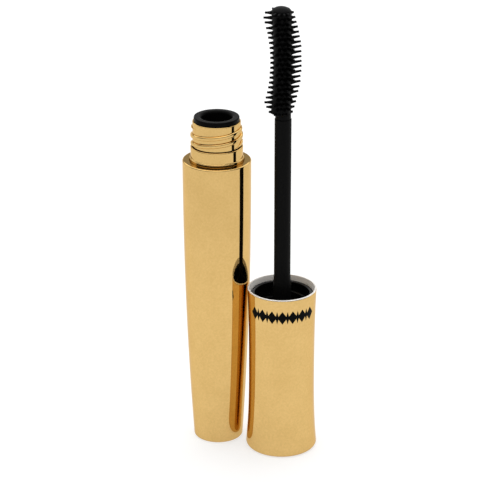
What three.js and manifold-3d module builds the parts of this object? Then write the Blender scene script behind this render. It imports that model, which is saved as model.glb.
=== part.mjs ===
// A mascara tube, taken apart: the bottle stands upright and open, and beside it the applicator
// stands upside down on the closed end of its cap, with the wand and its brush pointing up.
// Millimetres, +Z up. The bottle's axis is the Z axis and its foot is on z = 0.

import * as THREE from 'three';
import { mergeGeometries, mergeVertices } from 'three/addons/utils/BufferGeometryUtils.js';
import Module from 'manifold-3d';

const wasm = await Module();
wasm.setup();

// ---------------------------------------------------------------- driving dimensions

// How round pieces are faceted, and the clearances that fits are drawn with.
const SEGMENTS = 32;
const PRESS_GAP = 0.1;        // round a piece that is pressed or snapped into another
const SEAT_GAP = 0.05;        // under a piece that rests on another
const LOOSE_GAP = 0.3;        // between pieces that turn or slide past each other
const EDGE_BREAK = 0.2;       // chamfer on the edges of moulded pieces
const JOIN_DEPTH = 0.25;      // how deep ridges and ribs are sunk into what carries them

// Bottle: a shell that narrows towards the foot along a power curve.
const BOTTLE_HEIGHT = 84.05;
const SHOULDER_WIDTH = 2;     // bead of the neck to the edge of the shoulder
const FOOT_RADIUS = 6.95;
const SIDE_POWER = 2.2;
const FOOT_ROUND = 0.6;
const SHOULDER_ROUND = 0.3;
const SHELL_WALL = 0.9;
const SHELL_FLOOR = 1.2;

// Shoulder ring: a flat plate let into the mouth of the shell, with a skirt below it.
const RING_LIP = 0.35;        // width of the shell's rim left outside the plate
const RING_PLATE = 0.8;
const RING_SKIRT_WALL = 0.7;
const RING_SKIRT_HEIGHT = 2.6;

// Inner vial: body inside the shell, and the neck that stands above the shoulder.
const VIAL_GAP = 0.25;
const VIAL_WALL = 0.8;
const VIAL_FLOOR = 1.0;
const VIAL_SHOULDER_DROP = 0.9;
const NECK_HEIGHT = 11.2;     // shoulder to the lip of the neck
const NECK_RADIUS = 6.65;
const NECK_WALL = 1.1;
const BEAD_STEP = 0.85;       // how far the bead at the shoulder stands out from the neck
const BEAD_HEIGHT = 0.95;
const COLLAR_STEP = 0.6;
const COLLAR_HEIGHT = 4.1;

// Two-start right-hand thread on the neck, and the one inside the inner cap that runs on it.
const THREAD_STARTS = 2;
const THREAD_LEAD = 4.4;
const THREAD_DEPTH = 0.6;
const THREAD_ROOT_WIDTH = 1.5;
const THREAD_CREST_WIDTH = 0.3;
const THREAD_TURNS = 1.2;
const THREAD_FIRST_RISE = 4.42;     // shoulder to the start of each ridge
const THREAD_START_ANGLE = -43;     // degrees
const CAP_THREAD_TURNS = 0.8;
const CAP_THREAD_DEPTH = 0.6;
const CAP_THREAD_ROOT_WIDTH = 0.9;
const CAP_THREAD_CREST_WIDTH = 0.3;
const CAP_THREAD_FIRST_DROP = 2.4;  // top of the inner cap to the end of each ridge
const THREAD_RUN_OUT = 0.12;        // share of a ridge over which it rises to full height
const THREAD_END_RISE = 0.01;       // share of the run-out that the ridge starts at
const THREAD_STEPS_PER_TURN = 20;

// Wiper: flanged sleeve pressed into the neck, closing to a lip that strips the brush.
const WIPER_FLANGE_INSET = 0.375;   // neck's outside to the flange's edge
const WIPER_FLANGE_HEIGHT = 1.24;
const WIPER_FLANGE_ROUND = 0.3;
const WIPER_SLEEVE_WALL = 1.25;
const WIPER_LIP_CLEARANCE = 0.45;   // lip to the root of the stem
const WIPER_LIP_WALL = 0.6;
const WIPER_LENGTH = 11;
const WIPER_SLEEVE_LENGTH = 6.5;

// Mascara in the vial, with the hollow that the brush leaves in it.
const FILL_LEVEL = 58;
const FILL_WELL_GAP = 0.25;   // round the tips of the bristles
const FILL_UNDER_WELL = 0.4;

// Cap shell: waisted, standing on its closed end, open rim up.
const CAP_HEIGHT = 48.38;
const CAP_RIM_FLARE = 0.44;   // rim's radius over the waist's
const CAP_END_FLARE = 0.92;
const CAP_WAIST_HEIGHT = 26;
const CAP_RIM_POWER = 2.5;
const CAP_END_POWER = 3;
const CAP_END_ROUND = 1.1;
const CAP_WALL = 0.9;
const CAP_FLOOR = 1.2;
const CAP_LIP = 0.45;         // wall left at the rim, which is chamfered inside
const CAP_RIM_ROUND = 0.15;

// Inner cap: the threaded liner that grips the shell and holds the wand.
const INNER_CAP_RECESS = 1.4; // rim of the shell to the top of the inner cap
const INNER_CAP_FLANGE = 1.5;
const INNER_CAP_FLOOR = 1.4;
const INNER_CAP_WALL = 0.33;
const INNER_CAP_BODY_GAP = 0.4;
const THREAD_BORE_GAP = 0.35; // neck thread's crest to the inner cap's bore
const GRIP_RIBS = 8;
const GRIP_RIB_WIDTH = 0.9;
const GRIP_RIB_DROP = 1;      // flange to the top of the ribs
const BOSS_WALL = 1.4;
const BOSS_LENGTH = 11;

// Gasket that the neck closes on.
const GASKET_THICKNESS = 0.9;

// Wand: a stem with a thicker root, held in the inner cap's boss by barbs.
const ROD_RADIUS = 2.3;
const ROD_ROOT_STEP = 0.2;    // how much thicker the root is than the stem, in radius
const ROD_ROOT_TOP = 2.6;     // cap's rim to the middle of the root's taper
const ROD_ROOT_TAPER = 4;
const ROD_BARBS = 3;
const ROD_BARB_PITCH = 3;
const ROD_BARB_DEPTH = 0.3;
const ROD_BARB_SLOPE = 0.9;   // share of a barb's pitch that slopes
const ROD_END_CLEARANCE = 0.5;
const TIP_CLEARANCE = 1.25;   // tip of the brush to the vial's floor, with the cap closed
const BRUSH_LENGTH = 31.2;
const SOCKET_RADIUS = 1.4;
const SOCKET_DEPTH = 7;

// Moulded brush: a straight core with rings of bristles whose tips follow a bow.
const BRUSH_COLLAR_STEP = 0.15;     // how much thinner the collar is than the stem
const BRUSH_COLLAR_HEIGHT = 1.2;
const CORE_RADIUS = 2.45;
const CORE_END_SWELL = 0.3;
const CORE_SWAY = 0.7;        // how far the core's ends lie to one side of its middle
const CORE_OFFSET = 0.1;      // core's middle to the wand's axis, to the other side
const DOME_HEIGHT = 1.5;
const BRUSH_SHARE_LIMIT = 1.1;
const BRISTLE_RINGS = 21;
const BRISTLE_RING_PITCH = 1.385;
const BRISTLE_DROP = 0.346;   // foot of the dome to the last ring
const BRISTLES_PER_RING = 8;
const BRISTLE_TIP_RADIUS = 4.15;
const BRISTLE_TIP_BOW = 1.85; // how far the bow of the tips moves between middle and end
const BRISTLE_TIP_LEAN = 0.37;      // share of the bow that stands out on the long side
const BRISTLE_ROOT_RADIUS = 0.6;
const BRISTLE_SIDES = 4;
const CORE_SEGMENTS = 16;

// Where the applicator stands beside the bottle.
const STAND_GAP = 0.3;
const STAND_ANGLE = -18.97;   // degrees from +X

// ---------------------------------------------------------------- worked-out dimensions

const neckTop = BOTTLE_HEIGHT + NECK_HEIGHT;
const wiperTop = neckTop + SEAT_GAP + WIPER_FLANGE_HEIGHT;
const vialBottom = SHELL_FLOOR + PRESS_GAP;
const vialInnerBottom = vialBottom + VIAL_FLOOR;
const ringUnderside = BOTTLE_HEIGHT - RING_PLATE;
const ringSkirtBottom = ringUnderside - RING_SKIRT_HEIGHT;
const vialShoulderTop = ringSkirtBottom - PRESS_GAP;
const beadRadius = NECK_RADIUS + BEAD_STEP;
const shoulderRadius = beadRadius + SHOULDER_WIDTH;
const neckBoreRadius = NECK_RADIUS - NECK_WALL;
const threadCrestRadius = NECK_RADIUS + THREAD_DEPTH;
const boreRadius = threadCrestRadius + THREAD_BORE_GAP;
const innerCapRadius = boreRadius + INNER_CAP_WALL;
const capWaistRadius = innerCapRadius + INNER_CAP_BODY_GAP + CAP_WALL;
const capRimRadius = capWaistRadius + CAP_RIM_FLARE;
const innerCapTop = CAP_HEIGHT - INNER_CAP_RECESS;
// With the cap closed, its rim is LOOSE_GAP off the shoulder and the wiper meets the gasket.
const gasketTop = CAP_HEIGHT + LOOSE_GAP - (wiperTop - BOTTLE_HEIGHT) - SEAT_GAP;
const boreFloor = gasketTop - GASKET_THICKNESS - SEAT_GAP;
const bossTop = boreFloor - INNER_CAP_FLOOR;
const bossBottom = bossTop - BOSS_LENGTH;
const rodRootRadius = ROD_RADIUS + ROD_ROOT_STEP;
const wandReach = BOTTLE_HEIGHT + LOOSE_GAP - vialInnerBottom - TIP_CLEARANCE;
const brushTip = CAP_HEIGHT + wandReach;
const brushFoot = brushTip - BRUSH_LENGTH;
const lastRing = brushTip - DOME_HEIGHT - BRISTLE_DROP;
const firstRing = lastRing - (BRISTLE_RINGS - 1) * BRISTLE_RING_PITCH;
const brushMiddle = (firstRing + lastRing) / 2;
const brushHalfLength = (lastRing - firstRing) / 2;

// Radius of the bottle's side at height z.
function sideRadius(z) {
  const share = Math.max(0, (BOTTLE_HEIGHT - z) / BOTTLE_HEIGHT);
  return shoulderRadius - (shoulderRadius - FOOT_RADIUS) * share ** SIDE_POWER;
}

// Radius of the cap's side at height z, with the open rim up.
function capRadius(z) {
  if (z > CAP_WAIST_HEIGHT) {
    const share = (z - CAP_WAIST_HEIGHT) / (CAP_HEIGHT - CAP_WAIST_HEIGHT);
    return capWaistRadius + CAP_RIM_FLARE * share ** CAP_RIM_POWER;
  }
  const share = (CAP_WAIST_HEIGHT - z) / CAP_WAIST_HEIGHT;
  return capWaistRadius + CAP_END_FLARE * share ** CAP_END_POWER;
}

// ---------------------------------------------------------------- outlines and solids

// Points [radius, z] along radiusAt(z) from z0 to z1.
function along(radiusAt, z0, z1, count) {
  return Array.from({ length: count + 1 }, (_, i) => {
    const z = z0 + ((z1 - z0) * i) / count;
    return [radiusAt(z), z];
  });
}

// Points of a quarter round about (r, z), from one angle to another in degrees.
function arc(r, z, radius, from, to, count = 3) {
  return Array.from({ length: count + 1 }, (_, i) => {
    const angle = THREE.MathUtils.degToRad(from + ((to - from) * i) / count);
    return [r + radius * Math.cos(angle), z + radius * Math.sin(angle)];
  });
}

// Turns an outline of [radius, z] points, given with the material on its left, round the Z axis.
// An outline that doesn't start on the axis is closed on itself.
function turned(outline, segments = SEGMENTS) {
  const closed = outline[0][0] === 0 ? outline : [...outline, outline[0]];
  const points = closed.map(([r, z]) => new THREE.Vector2(r, z));
  return new THREE.LatheGeometry(points, segments).rotateX(Math.PI / 2);
}

// A ridge that winds round the Z axis. Its section tapers from rootRadius to crestRadius, which may
// lie inside or outside it, and its height runs out to nothing at both ends.
function threadRidge({ rootRadius, crestRadius, rootWidth, crestWidth, turns, z, startAngle }) {
  const embed = Math.sign(rootRadius - crestRadius) * JOIN_DEPTH;
  const half = rootWidth / 2;
  const section = new THREE.Shape([
    new THREE.Vector2(rootRadius + embed, -half),
    new THREE.Vector2(rootRadius, -half),
    new THREE.Vector2(crestRadius, -crestWidth / 2),
    new THREE.Vector2(crestRadius, crestWidth / 2),
    new THREE.Vector2(rootRadius, half),
    new THREE.Vector2(rootRadius + embed, half),
  ]);
  const steps = Math.ceil(turns * THREAD_STEPS_PER_TURN);
  const ridge = new THREE.ExtrudeGeometry(section, { depth: 1, steps, bevelEnabled: false });
  const position = ridge.getAttribute('position');
  for (let i = 0; i < position.count; i += 1) {
    const share = position.getZ(i);
    const toEnd = Math.min(share, 1 - share) + THREAD_END_RISE;
    const rise = Math.min(1, toEnd / THREAD_RUN_OUT);
    const raw = position.getX(i);
    const beyondRoot = (raw - rootRadius) * Math.sign(crestRadius - rootRadius) > 0;
    const radius = beyondRoot ? rootRadius + (raw - rootRadius) * rise : raw;
    const angle = THREE.MathUtils.degToRad(startAngle) + share * turns * 2 * Math.PI;
    const height = z + share * turns * THREAD_LEAD - position.getY(i);
    position.setXYZ(i, radius * Math.cos(angle), radius * Math.sin(angle), height);
  }
  return ridge;
}

// One ridge for each start, spaced evenly round the axis.
function threadRidges(options) {
  return Array.from({ length: THREAD_STARTS }, (_, i) => {
    const startAngle = options.startAngle + (i * 360) / THREAD_STARTS;
    return threadRidge({ ...options, startAngle });
  });
}

// A closed geometry as a manifold solid: positions only, shared corners merged.
function solid(geometry) {
  const bare = geometry.clone();
  bare.deleteAttribute('normal');
  bare.deleteAttribute('uv');
  const merged = mergeVertices(bare, 1e-4);
  const index = merged.getIndex().array;
  const triangles = [];
  for (let i = 0; i < index.length; i += 3) {
    const [a, b, c] = index.slice(i, i + 3);
    if (a !== b && b !== c && c !== a) {
      triangles.push(a, b, c);
    }
  }
  const mesh = new wasm.Mesh({
    numProp: 3,
    vertProperties: new Float32Array(merged.getAttribute('position').array),
    triVerts: new Uint32Array(triangles),
  });
  return new wasm.Manifold(mesh);
}

// A body with extra pieces joined on, as one geometry.
function joined(body, pieces) {
  const whole = pieces.reduce((sum, piece) => sum.add(solid(piece)), solid(body));
  const { vertProperties, triVerts } = whole.getMesh();
  const geometry = new THREE.BufferGeometry();
  geometry.setAttribute('position', new THREE.BufferAttribute(vertProperties, 3));
  geometry.setIndex(new THREE.BufferAttribute(triVerts, 1));
  geometry.computeVertexNormals();
  return geometry;
}

function piece(name, geometry, { color, roughness, metalness }) {
  const mesh = new THREE.Mesh(geometry, new THREE.MeshStandardMaterial({ color, roughness, metalness }));
  mesh.name = name;
  return mesh;
}

const GOLD = { color: 0xd8b878, roughness: 0.12, metalness: 1 };
const BLACK_PLASTIC = { color: 0x141413, roughness: 0.4, metalness: 0 };
const BLACK_SOFT = { color: 0x101010, roughness: 0.55, metalness: 0 };
const FOAM = { color: 0xe6e4de, roughness: 0.8, metalness: 0 };
const PASTE = { color: 0x080808, roughness: 0.3, metalness: 0 };

// ---------------------------------------------------------------- bottle

// Tapered cup, closed at the foot, with a rebate inside its mouth for the shoulder ring.
function bottleShell() {
  const inside = (z) => sideRadius(z) - SHELL_WALL;
  const footEdge = sideRadius(FOOT_ROUND) - FOOT_ROUND;
  const rebateRadius = shoulderRadius - RING_LIP;
  const rebateFloor = ringUnderside - SEAT_GAP;
  const corner = SHELL_FLOOR + FOOT_ROUND;
  return turned([
    [0, 0],
    ...arc(footEdge, FOOT_ROUND, FOOT_ROUND, -90, 0),
    ...along(sideRadius, FOOT_ROUND * 4, BOTTLE_HEIGHT - SHOULDER_ROUND * 3, 7),
    ...arc(shoulderRadius - SHOULDER_ROUND, BOTTLE_HEIGHT - SHOULDER_ROUND, SHOULDER_ROUND, 0, 90),
    [rebateRadius, BOTTLE_HEIGHT],
    [rebateRadius, rebateFloor],
    [inside(rebateFloor), rebateFloor],
    ...along(inside, rebateFloor - 2, corner, 5),
    [inside(SHELL_FLOOR) - FOOT_ROUND, SHELL_FLOOR],
    [0, SHELL_FLOOR],
  ]);
}

// Flat plate round the neck, flush with the shell's rim, on a skirt that grips the shell's wall.
function shoulderRing() {
  const plateRadius = shoulderRadius - RING_LIP - PRESS_GAP / 2;
  const holeRadius = beadRadius + PRESS_GAP;
  const skirtRadius = sideRadius(ringSkirtBottom) - SHELL_WALL - PRESS_GAP;
  return turned([
    [skirtRadius, ringSkirtBottom],
    [skirtRadius, ringUnderside],
    [plateRadius, ringUnderside],
    [plateRadius, BOTTLE_HEIGHT],
    [holeRadius, BOTTLE_HEIGHT],
    [holeRadius, ringUnderside],
    [skirtRadius - RING_SKIRT_WALL, ringUnderside],
    [skirtRadius - RING_SKIRT_WALL, ringSkirtBottom],
  ]);
}

const vialOutside = (z) => sideRadius(z) - SHELL_WALL - VIAL_GAP;
const vialInside = (z) => vialOutside(z) - VIAL_WALL;

// Vial with its neck: a bead in the ring's hole, a plain collar, and the two-start thread.
function innerVial() {
  const shoulderFoot = vialShoulderTop - VIAL_SHOULDER_DROP;
  const boreFoot = shoulderFoot - VIAL_WALL;
  const collarRadius = NECK_RADIUS + COLLAR_STEP;
  const collarTop = BOTTLE_HEIGHT + COLLAR_HEIGHT;
  const beadTop = BOTTLE_HEIGHT + BEAD_HEIGHT;
  const body = turned([
    [0, vialBottom],
    [vialOutside(vialBottom) - FOOT_ROUND, vialBottom],
    ...along(vialOutside, vialBottom + FOOT_ROUND, shoulderFoot, 5),
    [beadRadius, vialShoulderTop],
    [beadRadius, beadTop - EDGE_BREAK],
    [beadRadius - EDGE_BREAK / 2, beadTop],
    [collarRadius, beadTop + EDGE_BREAK / 2],
    [collarRadius, collarTop - EDGE_BREAK],
    [collarRadius - EDGE_BREAK, collarTop],
    [NECK_RADIUS, collarTop],
    [NECK_RADIUS, neckTop - EDGE_BREAK],
    [NECK_RADIUS - EDGE_BREAK, neckTop],
    [neckBoreRadius, neckTop],
    [neckBoreRadius, shoulderFoot],
    ...along(vialInside, boreFoot - VIAL_WALL * 2, vialInnerBottom + FOOT_ROUND, 5),
    [vialInside(vialInnerBottom) - FOOT_ROUND, vialInnerBottom],
    [0, vialInnerBottom],
  ]);
  const ridges = threadRidges({
    rootRadius: NECK_RADIUS,
    crestRadius: threadCrestRadius,
    rootWidth: THREAD_ROOT_WIDTH,
    crestWidth: THREAD_CREST_WIDTH,
    turns: THREAD_TURNS,
    z: BOTTLE_HEIGHT + THREAD_FIRST_RISE,
    startAngle: THREAD_START_ANGLE,
  });
  return joined(body, ridges);
}

// Flanged sleeve in the neck's bore, funnelling down to the wiping lip.
function wiper() {
  const flangeFoot = neckTop + SEAT_GAP;
  const flangeRadius = NECK_RADIUS - WIPER_FLANGE_INSET;
  const sleeveRadius = neckBoreRadius - PRESS_GAP;
  const mouthRadius = sleeveRadius - WIPER_SLEEVE_WALL;
  const lipRadius = rodRootRadius + WIPER_LIP_CLEARANCE;
  const sleeveFoot = flangeFoot - WIPER_SLEEVE_LENGTH;
  const lip = flangeFoot - WIPER_LENGTH;
  const round = WIPER_FLANGE_ROUND;
  return turned([
    [lipRadius + WIPER_LIP_WALL, lip],
    [sleeveRadius, sleeveFoot],
    [sleeveRadius, flangeFoot],
    [flangeRadius, flangeFoot],
    ...arc(flangeRadius - round, wiperTop - round, round, 0, 90, 2),
    [mouthRadius + round, wiperTop],
    [mouthRadius, wiperTop - round],
    [mouthRadius - round, sleeveFoot],
    [lipRadius, lip],
  ]);
}

// Mascara lining the vial up to the fill level, hollow down the middle.
function mascaraFill() {
  const against = (z) => vialInside(z) - PRESS_GAP;
  const wellRadius = BRISTLE_TIP_RADIUS + FILL_WELL_GAP;
  const bottom = vialInnerBottom + SEAT_GAP;
  return turned([
    [0, bottom],
    [against(bottom) - FOOT_ROUND, bottom],
    ...along(against, bottom + FOOT_ROUND, FILL_LEVEL, 5),
    [wellRadius, FILL_LEVEL],
    [wellRadius, bottom + FILL_UNDER_WELL * 2],
    [wellRadius - FILL_UNDER_WELL, bottom + FILL_UNDER_WELL],
    [0, bottom + FILL_UNDER_WELL],
  ]);
}

// ---------------------------------------------------------------- applicator, on its own Z axis

const capInside = (z) => capRadius(z) - CAP_WALL;

// Waisted cup, closed end down, with its rim chamfered inside down to the inner cap.
function capShell() {
  const endEdge = capRadius(CAP_END_ROUND) - CAP_END_ROUND;
  const rimEdge = capRimRadius - CAP_RIM_ROUND;
  const corner = CAP_FLOOR + CAP_END_ROUND;
  return turned([
    [0, 0],
    ...arc(endEdge, CAP_END_ROUND, CAP_END_ROUND, -90, 0, 4),
    ...along(capRadius, CAP_END_ROUND * 2.5, CAP_HEIGHT - CAP_RIM_ROUND * 3, 10),
    [capRimRadius, CAP_HEIGHT - CAP_RIM_ROUND],
    [rimEdge, CAP_HEIGHT],
    [capRimRadius - CAP_LIP, CAP_HEIGHT],
    ...along(capInside, innerCapTop, corner, 7),
    [capInside(CAP_FLOOR) - CAP_END_ROUND, CAP_FLOOR],
    [0, CAP_FLOOR],
  ]);
}

// Threaded liner: flange under the rim, ribs on the shell's wall, boss round the wand's root.
function innerCap() {
  const flangeFoot = innerCapTop - INNER_CAP_FLANGE;
  const flangeRadius = Math.min(capInside(innerCapTop), capInside(flangeFoot)) - PRESS_GAP;
  const rodHole = rodRootRadius + PRESS_GAP;
  const body = turned([
    [rodHole, bossBottom],
    [rodHole + BOSS_WALL, bossBottom],
    [rodHole + BOSS_WALL, bossTop],
    [innerCapRadius, bossTop],
    [innerCapRadius, flangeFoot - INNER_CAP_BODY_GAP],
    [flangeRadius, flangeFoot],
    [flangeRadius, innerCapTop - EDGE_BREAK],
    [flangeRadius - EDGE_BREAK, innerCapTop],
    [boreRadius + EDGE_BREAK, innerCapTop],
    [boreRadius, innerCapTop - EDGE_BREAK],
    [boreRadius, boreFloor],
    [rodHole, boreFloor],
  ]);
  const ridgeRise = CAP_THREAD_TURNS * THREAD_LEAD;
  const ridges = threadRidges({
    rootRadius: boreRadius,
    crestRadius: boreRadius - CAP_THREAD_DEPTH,
    rootWidth: CAP_THREAD_ROOT_WIDTH,
    crestWidth: CAP_THREAD_CREST_WIDTH,
    turns: CAP_THREAD_TURNS,
    z: innerCapTop - CAP_THREAD_FIRST_DROP - ridgeRise,
    startAngle: 0,
  });
  const ribReach = capWaistRadius - CAP_WALL - PRESS_GAP;
  const ribHeight = flangeFoot - bossTop - GRIP_RIB_DROP;
  const ribDepth = ribReach - innerCapRadius + JOIN_DEPTH;
  const ribs = Array.from({ length: GRIP_RIBS }, (_, i) => {
    const rib = new THREE.BoxGeometry(ribDepth, GRIP_RIB_WIDTH, ribHeight);
    rib.translate(ribReach - ribDepth / 2, 0, bossTop + ribHeight / 2);
    return rib.rotateZ((i * 2 * Math.PI) / GRIP_RIBS);
  });
  return joined(body, [...ridges, ...ribs]);
}

// Foam washer on the inner cap's floor, loose round the wand.
function capGasket() {
  const outer = boreRadius - PRESS_GAP;
  const hole = rodRootRadius + LOOSE_GAP;
  const bottom = boreFloor + SEAT_GAP;
  return turned([
    [hole, bottom],
    [outer, bottom],
    [outer, gasketTop],
    [hole, gasketTop],
  ]);
}

// Stem with barbs at its root and a socket in its top for the brush.
function wandRod() {
  const bottom = bossBottom + ROD_END_CLEARANCE;
  const barbs = Array.from({ length: ROD_BARBS }, (_, i) => [
    [rodRootRadius - ROD_BARB_DEPTH, bottom + i * ROD_BARB_PITCH],
    [rodRootRadius, bottom + (i + ROD_BARB_SLOPE) * ROD_BARB_PITCH],
  ]).flat();
  const rootTop = CAP_HEIGHT + ROD_ROOT_TOP;
  const top = brushFoot - SEAT_GAP;
  return turned([
    [0, bottom],
    ...barbs,
    [rodRootRadius, rootTop - ROD_ROOT_TAPER / 2],
    [ROD_RADIUS, rootTop + ROD_ROOT_TAPER / 2],
    [ROD_RADIUS, top - EDGE_BREAK],
    [ROD_RADIUS - EDGE_BREAK, top],
    [SOCKET_RADIUS, top],
    [SOCKET_RADIUS, top - SOCKET_DEPTH],
    [0, top - SOCKET_DEPTH],
  ], 24);
}

// Place along the brush, -1 at the first ring and 1 at the last, held just past either end.
function brushShare(z) {
  return THREE.MathUtils.clamp((z - brushMiddle) / brushHalfLength, -BRUSH_SHARE_LIMIT, BRUSH_SHARE_LIMIT);
}

// Sideways place of the core's middle at height z, and its radius there.
const coreSway = (z) => (z < firstRing ? 0 : CORE_OFFSET - CORE_SWAY * brushShare(z) ** 2);
const coreRadius = (z) => CORE_RADIUS + CORE_END_SWELL * brushShare(z) ** 2;

// Core of the brush with its stub in the rod's socket, swayed to one side towards its ends.
function brushCore() {
  const collarRadius = ROD_RADIUS - BRUSH_COLLAR_STEP;
  const collarTop = brushFoot + BRUSH_COLLAR_HEIGHT;
  const stub = SOCKET_RADIUS - PRESS_GAP;
  const domeFoot = brushTip - DOME_HEIGHT;
  const domeRadius = coreRadius(domeFoot);
  const dome = arc(0, 0, 1, 0, 90, 4).slice(1, -1);
  const core = turned([
    [0, brushFoot - SOCKET_DEPTH + LOOSE_GAP],
    [stub, brushFoot - SOCKET_DEPTH + LOOSE_GAP],
    [stub, brushFoot],
    [collarRadius, brushFoot],
    [collarRadius, collarTop],
    ...along(coreRadius, firstRing, domeFoot, 6),
    ...dome.map(([r, z]) => [domeRadius * r, domeFoot + DOME_HEIGHT * z]),
    [0, brushTip],
  ], CORE_SEGMENTS);
  const position = core.getAttribute('position');
  for (let i = 0; i < position.count; i += 1) {
    position.setX(i, position.getX(i) + coreSway(position.getZ(i)));
  }
  return core;
}

// A bristle: a spike from inside the core out to the bowed line of the tips.
function bristle(z, angle) {
  const bow = BRISTLE_TIP_BOW * (BRISTLE_TIP_LEAN - brushShare(z) ** 2);
  const reach = BRISTLE_TIP_RADIUS + bow * Math.cos(angle);
  const root = CORE_RADIUS - BRISTLE_ROOT_RADIUS;
  const length = reach - root;
  const spike = new THREE.ConeGeometry(BRISTLE_ROOT_RADIUS, length, BRISTLE_SIDES);
  spike.rotateZ(-Math.PI / 2);
  spike.translate(root + length / 2, 0, 0);
  return spike.rotateZ(angle).translate(0, 0, z);
}

// The core and its rings of bristles; every other ring is turned by half a step.
function brush() {
  const bristles = [];
  for (let ring = 0; ring < BRISTLE_RINGS; ring += 1) {
    const z = firstRing + ring * BRISTLE_RING_PITCH;
    for (let i = 0; i < BRISTLES_PER_RING; i += 1) {
      const step = i + (ring % 2) / 2;
      bristles.push(bristle(z, (step * 2 * Math.PI) / BRISTLES_PER_RING));
    }
  }
  return joined(brushCore(), [mergeGeometries(bristles)]);
}

// ---------------------------------------------------------------- the whole object

const bottle = new THREE.Group();
bottle.add(
  piece('bottle_shell', bottleShell(), GOLD),
  piece('shoulder_ring', shoulderRing(), GOLD),
  piece('inner_vial', innerVial(), GOLD),
  piece('wiper', wiper(), BLACK_SOFT),
  piece('mascara_fill', mascaraFill(), PASTE),
);

const applicator = new THREE.Group();
const standDistance = sideRadius(CAP_HEIGHT) + capRimRadius + STAND_GAP;
const standAngle = THREE.MathUtils.degToRad(STAND_ANGLE);
applicator.position.set(standDistance * Math.cos(standAngle), standDistance * Math.sin(standAngle), 0);
applicator.add(
  piece('cap_shell', capShell(), GOLD),
  piece('inner_cap', innerCap(), BLACK_PLASTIC),
  piece('cap_gasket', capGasket(), FOAM),
  piece('wand_rod', wandRod(), BLACK_PLASTIC),
  piece('brush', brush(), BLACK_SOFT),
);

const mascaraTube = new THREE.Group();
mascaraTube.add(bottle, applicator);
export default mascaraTube;
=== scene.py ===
import math

import bpy
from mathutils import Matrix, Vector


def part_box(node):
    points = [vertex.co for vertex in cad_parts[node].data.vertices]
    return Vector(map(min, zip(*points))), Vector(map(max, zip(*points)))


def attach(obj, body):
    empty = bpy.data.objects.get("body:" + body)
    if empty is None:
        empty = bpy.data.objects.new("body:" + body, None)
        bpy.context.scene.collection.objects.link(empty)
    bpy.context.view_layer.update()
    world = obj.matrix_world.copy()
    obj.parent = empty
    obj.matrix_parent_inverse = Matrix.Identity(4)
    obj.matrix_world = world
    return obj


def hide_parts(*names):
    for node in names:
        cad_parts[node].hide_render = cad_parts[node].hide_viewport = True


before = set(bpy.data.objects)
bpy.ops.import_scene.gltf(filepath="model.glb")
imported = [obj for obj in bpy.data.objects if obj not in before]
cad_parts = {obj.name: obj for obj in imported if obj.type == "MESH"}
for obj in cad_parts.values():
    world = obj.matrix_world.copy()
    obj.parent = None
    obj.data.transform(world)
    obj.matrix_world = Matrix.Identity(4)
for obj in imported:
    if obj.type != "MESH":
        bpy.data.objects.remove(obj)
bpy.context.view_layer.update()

# Camera: a long lens in front of the tube and above it, so that the round rims open towards it and
# the sides stay close to parallel.
CAMERA_PLACE = (0.00912, -0.55446, 0.28643)
CAMERA_PITCH = 22.48
CAMERA_LENS = 154.5

camera_data = bpy.data.cameras.new("camera")
camera_data.lens = CAMERA_LENS
camera_data.sensor_width = 36
camera_data.clip_start = 0.01
camera = bpy.data.objects.new("camera", camera_data)
camera.location = CAMERA_PLACE
camera.rotation_euler = (math.radians(90 - CAMERA_PITCH), 0, 0)
bpy.context.scene.collection.objects.link(camera)
bpy.context.scene.camera = camera

# Studio: a white board under a soft white tent that is dimmer in front, where it stands open,
# and brighter overhead and behind. The board itself glows, most near the bottle and behind it, as a painted
# pool of light.
SKY_STRENGTH = 1.0
SIDE_DIMMING = 0.12
TOP_GLOW = 0.8
BACK_WALL_HEIGHT = 0.343
BACK_WALL_BAND = 0.05
BACK_WALL_DIMMING = 0.6
BACK_GLOW = 0.7
FLOOR_GLOW = 0.61
FLOOR_GLOW_FAR = 0.52
FLOOR_GLOW_FADE = (0.085, 0.19)
FLOOR_COLOUR = (0.42, 0.42, 0.42, 1)
FLOOR_HALF = 3.0
DARK_FRONT = 0.93
DARK_FRONT_LOW = 0.12
DARK_FRONT_HIGH = 0.55

bpy.context.scene.view_settings.view_transform = "Standard"


def new_material(name):
    """An empty node material and its shader, joined to the output."""
    material = bpy.data.materials.new(name)
    material.use_nodes = True
    nodes = material.node_tree.nodes
    nodes.clear()
    shader = nodes.new("ShaderNodeBsdfPrincipled")
    output = nodes.new("ShaderNodeOutputMaterial")
    material.node_tree.links.new(shader.outputs["BSDF"], output.inputs["Surface"])
    return material, shader


def node(tree, kind, inputs=(), **settings):
    """A node with its settings, and its inputs given by name or place as a value or as a socket."""
    made = tree.nodes.new(kind)
    for key, value in settings.items():
        setattr(made, key, value)
    for key, value in dict(inputs).items():
        socket = made.inputs[key]
        if isinstance(value, bpy.types.NodeSocket):
            tree.links.new(value, socket)
        else:
            socket.default_value = value
    return made


def maths(tree, operation, a, b=0.0):
    """The result of one sum in a tree."""
    return node(tree, "ShaderNodeMath", {0: a, 1: b}, operation=operation).outputs[0]


def eased(tree, value, start, end, low=0.0, high=1.0):
    """A value that eases from low to high while another one goes from start to end."""
    return node(tree, "ShaderNodeMapRange", {
        "Value": value, "From Min": start, "From Max": end, "To Min": low, "To Max": high},
        interpolation_type="SMOOTHSTEP").outputs[0]


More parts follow.
